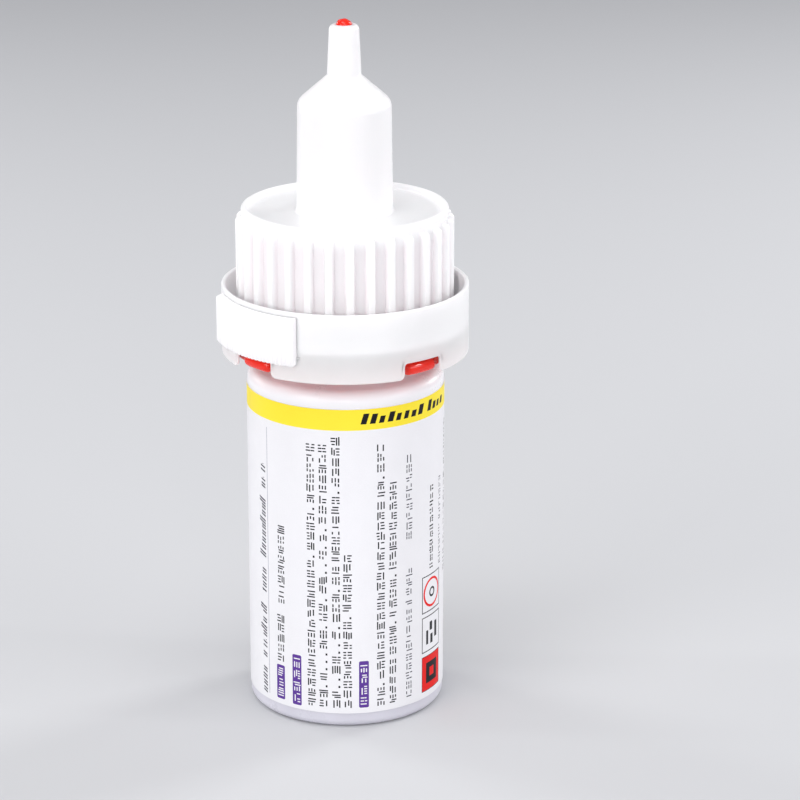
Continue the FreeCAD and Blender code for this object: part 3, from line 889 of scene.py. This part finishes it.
def add_torn_stem(shape):
    """The stem's top, left ragged where the moulding was broken from its runner."""
    azimuths = full_turn(64)
    rows = [round_points(0.0, azimuths, STEM_FOOT)]
    rows += [round_points(STEM, azimuths, height) for height in (STEM_FOOT, 96.4, 96.85)]
    for share in (0.985, 0.93, 0.84, 0.72, 0.6, 0.47, 0.34, 0.22, 0.11, 0.0):
        points = round_points(STEM * share, azimuths, 0.0)
        x, y = points[:, 0], points[:, 1]
        dome = 0.62 * (1 - share ** 2.4) ** 0.75 * (1 - 0.10 * x + 0.06 * y)
        knob = 0.17 * np.exp(-((x + 0.74) ** 2 + (y + 0.3) ** 2) / 0.045)
        dent = 0.07 * np.exp(-((x + 0.42) ** 2 + (y + 0.42) ** 2) / 0.03)
        dent += 0.05 * np.exp(-((x - 0.3) ** 2 + (y + 0.55) ** 2) / 0.04)
        ripple = 0.018 * np.sin(7 * x + 3 * y) + 0.014 * np.cos(8 * y - 5 * x)
        height = DOME_FOOT + dome + math.sqrt(1 - share ** 4) * (knob - dent + ripple)
        points[:, 2] = np.minimum(height, float(CAP_HIGH[2]))
        rows.append(points)
    shape.add_grid(np.array(rows), wrap_rows=False)


make_inner_cap()

# ---------------------------------------------------------------- outer shell

RING = float(SHELL_HIGH[1])
RING_BOTTOM = float(SHELL_LOW[2])
RING_TOP = 60.95
LIP_IN = RING - 0.35
WALL = 14.15
WALL_BORE = 12.95
WEB_LOW, WEB_TOP = 55.3, 56.4  # the web that joins the ring to the wall
WALL_TOP = 71.85
DECK = 71.0
DECK_LOW = 70.0
SPIRE_FOOT, SPIRE = 6.6, 6.4  # radii at the deck and where the cone starts
SPIRE_TOP = 86.28
NOSE_FOOT = 89.83
NOSE, NOSE_RIM = 2.33, 2.02  # radii at its foot and its top
RIB_PROUD = 0.85
RIB_TOP = 70.4
RIB_COUNT = 32
RIB_PITCH = 360 / RIB_COUNT
FIRST_RIB = 2.6
NOTCH_TOP = 53.6
NOTCHES = [(312.2, 6.75), (132.2, 6.75), (38.35, 6.1), (218.35, 6.1)]  # azimuth and width
NOTCH_SAMPLES = 30
WINDOW = 1.7  # arc on either side of a notch's edge that its curve is spread over
MERGE_HEIGHT = 55.0  # above this the ring's columns are upright again
PIP = 0.42


def arc_to_azimuth(arc):
    return np.degrees(arc / RING)


def azimuth_gap(azimuths, azimuth):
    return np.abs((azimuths - azimuth + 180) % 360 - 180)


def notch_side():
    """From inside a notch to outside it: evenly spaced (along, height) and inward normals."""
    path = rounded([(-WINDOW, NOTCH_TOP), (0, NOTCH_TOP, 0.45), (0, RING_BOTTOM, 0.8),
                    (WINDOW, RING_BOTTOM)], steps=8)
    lengths = np.concatenate([[0], np.cumsum(np.linalg.norm(np.diff(path, axis=0), axis=1))])
    at = np.linspace(0, lengths[-1], NOTCH_SAMPLES)
    points = np.stack([np.interp(at, lengths, path[:, 0]), np.interp(at, lengths, path[:, 1])], -1)
    run = np.gradient(points, axis=0)
    run /= np.linalg.norm(run, axis=1)[:, None]
    return points, np.stack([-run[:, 1], run[:, 0]], -1)


def shell_columns():
    """Azimuth of every column above the notches, and its edge point and normal below them."""
    across = np.array([1.0, 1.6, 1.95, 2.25, 2.55, 2.85, 3.3, 4.1, 5.2])
    offsets = np.concatenate([-across[::-1], [0.0], across])
    ribs = (FIRST_RIB + full_turn(RIB_COUNT))[:, None] + offsets[None, :]
    plain = np.sort(ribs.ravel() % 360)
    side, normal = notch_side()
    columns = []
    for centre, width in NOTCHES:
        half = math.degrees(math.asin(width / 2 / RING))
        for sign in (-1, 1):
            edge = centre + sign * half
            spots = np.linspace(-WINDOW, WINDOW, len(side))
            for spot, (along, height), lean in zip(spots, side, normal):
                above = edge + sign * arc_to_azimuth(spot)
                below = edge + sign * arc_to_azimuth(along)
                columns.append((above, below, height, sign * lean[0], lean[1]))
            plain = plain[azimuth_gap(plain, edge) > arc_to_azimuth(WINDOW) + 0.08]
        apart = azimuth_gap(plain, centre)
        inside = plain[apart < half]
        plain = plain[apart >= half]
        columns.extend((a, a, NOTCH_TOP, 0.0, 1.0) for a in inside)
    columns.extend((a, a, RING_BOTTOM, 0.0, 1.0) for a in plain)
    made = np.array(columns)
    made[:, 1] = made[:, 1] - np.floor(made[:, 0] / 360) * 360
    made[:, 0] %= 360
    return made[np.argsort(made[:, 0])]


def rib_height(azimuth, height):
    """How proud the ribbed wall stands at this azimuth and height."""
    away = np.abs((azimuth - FIRST_RIB + RIB_PITCH / 2) % RIB_PITCH - RIB_PITCH / 2)
    share = np.clip((2.85 - away) / 1.25, 0, 1)
    across = share * share * (3 - 2 * share)
    top = np.clip((RIB_TOP - height) / 0.7, 0, 1)
    return RIB_PROUD * across * np.sqrt(1 - (1 - top) ** 2)


def shell_rows(azimuth):
    """Radius and height at every azimuth, from the web's underside round to the ring's wall."""
    def add_row(radius, height):
        rows.append((np.broadcast_to(radius, azimuth.shape), height))

    rows = []
    for radius, height in rounded([
        (LIP_IN, MERGE_HEIGHT), (LIP_IN, WEB_LOW, 0.2), (WALL_BORE, WEB_LOW, 0.25),
        (WALL_BORE, SNAP - 0.5), (13.3, SNAP - 0.2), (13.3, SNAP + 0.2), (WALL_BORE, SNAP + 0.5),
        (WALL_BORE, DECK_LOW, 0.5), (5.5, DECK_LOW, 0.5), (5.35, 85.95, 0.8), (1.15, 89.5, 0.4),
        (1.15, NOSE_TOP - 0.05, 0.12), (1.25, NOSE_TOP, 0.1), (NOSE_RIM, NOSE_TOP - 0.04, 0.76),
        (NOSE, NOSE_FOOT, 0.5), (SPIRE, SPIRE_TOP, 1.9), (SPIRE_FOOT, DECK, 0.45), (10.0, DECK),
        (WALL - 0.8, DECK, 0.22), (WALL - 0.8, WALL_TOP, 0.18), (WALL, WALL_TOP, 0.62),
    ], steps=6):
        add_row(radius, height)
    for height in (71.0, 70.7, 70.4, 70.36, 70.28, 70.16, 70.0, 69.8, 69.6, 69.2, 68.0, 65.5, 63.0,
                   60.5, 58.5, 57.2, 56.75):
        add_row(WALL + rib_height(azimuth, height), height)
    rib_foot = WALL + rib_height(azimuth, 57.0)
    for share, height in ((0.08, 56.55), (0.25, 56.43), (0.5, WEB_TOP)):
        add_row(rib_foot + share * 0.5, height)
    ring = rounded([
        (15.9, WEB_TOP), (RING - 0.6, WEB_TOP, 0.2), (RING - 0.6, RING_TOP, 0.24),
        (RING, RING_TOP, 0.24), (RING, MERGE_HEIGHT + 0.2),
    ], steps=6)
    for radius, height in ring[:-1]:
        add_row(radius, height)
    for height in (59.5, 58.0, 56.5, MERGE_HEIGHT):
        add_row(RING, height)
    return rows


def make_shell():
    shape = Shape()
    columns = shell_columns()
    top_azimuth, edge_azimuth, edge_height, lean_along, lean_up = columns.T
    rows = [round_points(r, top_azimuth, h) for r, h in shell_rows(top_azimuth)]
    # the ring's lower edge, as (radius, distance inside the notched outline)
    lip = rounded([
        (RING, 0.5), (RING, 0.32), (RING, 0.0, 0.13), (LIP_IN, 0.0, 0.13), (LIP_IN, 0.32),
        (LIP_IN, 0.5),
    ], steps=4)
    edge_rows = []
    for radius, inward in lip:
        azimuth = edge_azimuth + arc_to_azimuth(lean_along * inward)
        edge_rows.append((radius, azimuth, edge_height + lean_up * inward))
    for radius, azimuth, height in (edge_rows[0], edge_rows[-1]):
        blend = []
        for share in (0.33, 0.66):
            blend.append(round_points(radius, azimuth + (top_azimuth - azimuth) * share,
                                      height + (MERGE_HEIGHT - height) * share))
        if radius == RING:
            rows += blend[::-1]
            rows += [round_points(r, a, h) for r, a, h in edge_rows]
        else:
            rows += blend
    shape.add_grid(np.array(rows))
    add_pad(shape, 309.3, 56.6)
    add_pad(shape, 129.3, 44.5)
    pip, faces = rounded_box((PIP, PIP, PIP), 0.2, 6)
    shape.add(pip + round_points(RING + 0.02, 338.2, 54.75), faces)
    return shape.make("outer_shell_moulding", "shell", [shell_white, shell_pads],
                      ["outer_shell"])


PAD = 18.1
PAD_LOW, PAD_HIGH = 53.7, 60.3
PAD_CHAMFER = 0.45
KNURL_PITCH = 2.15  # degrees
KNURL_SAMPLE = 0.07


def add_pad(shape, centre, sweep):
    """A raised grip pad with upright knurls, sloped above and rounded at its ends."""
    half = math.radians(sweep / 2) * PAD
    ends = np.array([0, 0.03, 0.08, 0.14, 0.2, 0.28, 0.38, 0.5, 0.7])
    fine = np.arange(-half + 0.9, half - 0.9, KNURL_SAMPLE)
    along = np.concatenate([-half + ends, fine, half - ends[::-1]])
    inset = half - np.abs(along)
    steep = np.clip(inset / 0.1, 0, 1) * 0.72
    bend = np.sqrt(1 - (1 - np.clip((inset - 0.1) / 0.4, 0, 1)) ** 2) * 0.28
    rise = steep + bend
    pitch = math.radians(KNURL_PITCH) * PAD
    count = int(sweep / KNURL_PITCH)
    phase = along / pitch + (count - 1) / 2
    away = np.abs(phase - np.round(phase)) * pitch
    groove = 0.5 + 0.5 * np.cos(np.clip(away / 0.24, 0, 1) * math.pi)
    groove *= (np.round(phase) >= 0) & (np.round(phase) <= count - 1)
    groove *= np.clip((inset - 0.25) / 0.3, 0, 1)
    root = RING - 0.3
    whole = root + (PAD - root) * rise
    face, upper = whole - 0.3 * groove, whole - 0.1 * groove
    corner = np.sqrt(np.clip(1 - (1 - np.clip(inset / 0.4, 0, 1)) ** 2, 0, 1))
    bottom = PAD_LOW + 0.38 * (1 - corner)
    slope = PAD_HIGH - PAD_CHAMFER
    azimuth = centre + np.degrees(along / PAD)
    rows = [
        (root, bottom), (face - 0.16, bottom), (face - 0.05, bottom + 0.05), (face, bottom + 0.16),
        ((face + upper) / 2, bottom + 1.2), (upper, bottom + 2.6), (upper, slope - 0.9),
        (upper, slope - 0.12), (upper - 0.03, slope), (upper - 0.12, slope + 0.08),
        (RING + 0.12 * np.clip(upper - RING, 0, 1), PAD_HIGH - 0.06), (root, PAD_HIGH),
    ]
    points = np.array([round_points(r, azimuth, h) for r, h in rows])
    shape.add_grid(points, wrap_rows=True, wrap_cols=False, caps=True, slot=1)


make_shell()

# ---------------------------------------------------------------- CAD nodes that stay

for name, material in (("glue_fill", glue_clear), ("cap_pin", pin_steel)):
    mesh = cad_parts[name].data
    mesh.materials.clear()
    mesh.materials.append(material)

# ---------------------------------------------------------------- floor, light and camera


# metres from here on
FLOOR = 3.0  # half the floor's side
FLOOR_LIGHT = (0.60, 0.605, 0.62)
FLOOR_DARK = (0.585, 0.59, 0.605)
MIDDLE = (0.0, 0.0, 0.05)
LENS = 142.64  # millimetres, as is the sensor
SENSOR = 36.0
CAMERA_SHIFT = 0.068
CAMERA_TILT = math.radians(18.225)
CAMERA_ROLL = math.radians(-0.246)
CAMERA_DISTANCE = 0.4416
AIM_HEIGHT = 0.04365


def make_floor():
    mesh = bpy.data.meshes.new("floor")
    corners = [(x * FLOOR, y * FLOOR, 0) for x, y in ((-1, -1), (1, -1), (1, 1), (-1, 1))]
    mesh.from_pydata(corners, [], [(0, 1, 2, 3)])
    material, tree, shader = new_material("floor_pale", IOR=1.0)
    place = coordinates(tree)
    cloud = noise(tree, place, 2.0, 2.0)
    tree.links.new(mix(tree, cloud, FLOOR_LIGHT, FLOOR_DARK), shader.inputs["Base Color"])
    gloss = spread(tree, noise(tree, place, 30.0), 0.3, 0.7, 0.75, 0.85)
    tree.links.new(gloss, shader.inputs["Roughness"])
    mesh.materials.append(material)
    floor = bpy.data.objects.new("floor", mesh)
    scene.collection.objects.link(floor)


def add_light(name, place, aim, size, power, colour=(1, 1, 1)):
    data = bpy.data.lights.new(name, "AREA")
    data.shape = "RECTANGLE"
    data.size, data.size_y = size
    data.energy = power
    data.color = colour
    lamp = bpy.data.objects.new(name, data)
    lamp.location = place
    lamp.rotation_euler = (Vector(aim) - Vector(place)).to_track_quat("-Z", "Y").to_euler()
    scene.collection.objects.link(lamp)


make_floor()
add_light("key", (-0.49, -0.47, 0.29), MIDDLE, (0.40, 0.36), 1.75, (1.0, 0.99, 0.985))
add_light("fill", (0.60, -0.36, 0.25), MIDDLE, (0.5, 0.3), 1.5, (1.0, 0.99, 1.0))
add_light("low_front", (-0.14, -0.69, 0.19), MIDDLE, (0.6, 0.12), 1.4)
add_light("top", (-0.05, -0.14, 0.74), MIDDLE, (0.5, 0.5), 2.15)
add_light("rim_left", (-0.45, 0.32, 0.27), MIDDLE, (0.16, 0.3), 0.9)
add_light("rim_right", (0.45, 0.32, 0.27), MIDDLE, (0.16, 0.3), 1.4)
add_light("spark_left", (-0.62, 0.04, 0.40), MIDDLE, (0.035, 0.035), 0.35)
add_light("spark_right", (0.60, -0.10, 0.40), MIDDLE, (0.035, 0.035), 0.35)

world = bpy.data.worlds.new("studio")
world.use_nodes = True
sky = world.node_tree.nodes["Background"]
sky.inputs["Color"].default_value = (0.93, 0.94, 1.0, 1.0)
sky.inputs["Strength"].default_value = 0.34
scene.world = world
scene.view_settings.view_transform = "Standard"
scene.view_settings.look = "None"

camera_data = bpy.data.cameras.new("camera")
camera_data.lens = LENS
camera_data.sensor_width = SENSOR
camera_data.shift_x = CAMERA_SHIFT
camera_data.clip_start = 0.02
camera_data.clip_end = 10.0
camera = bpy.data.objects.new("camera", camera_data)
back = CAMERA_DISTANCE * math.cos(CAMERA_TILT)
height = AIM_HEIGHT + CAMERA_DISTANCE * math.sin(CAMERA_TILT)
camera.matrix_world = (
    Matrix.Translation((0.0, -back, height))
    @ Matrix.Rotation(math.pi / 2 - CAMERA_TILT, 4, "X")
    @ Matrix.Rotation(CAMERA_ROLL, 4, "Z")
)
scene.collection.objects.link(camera)
scene.camera = camera
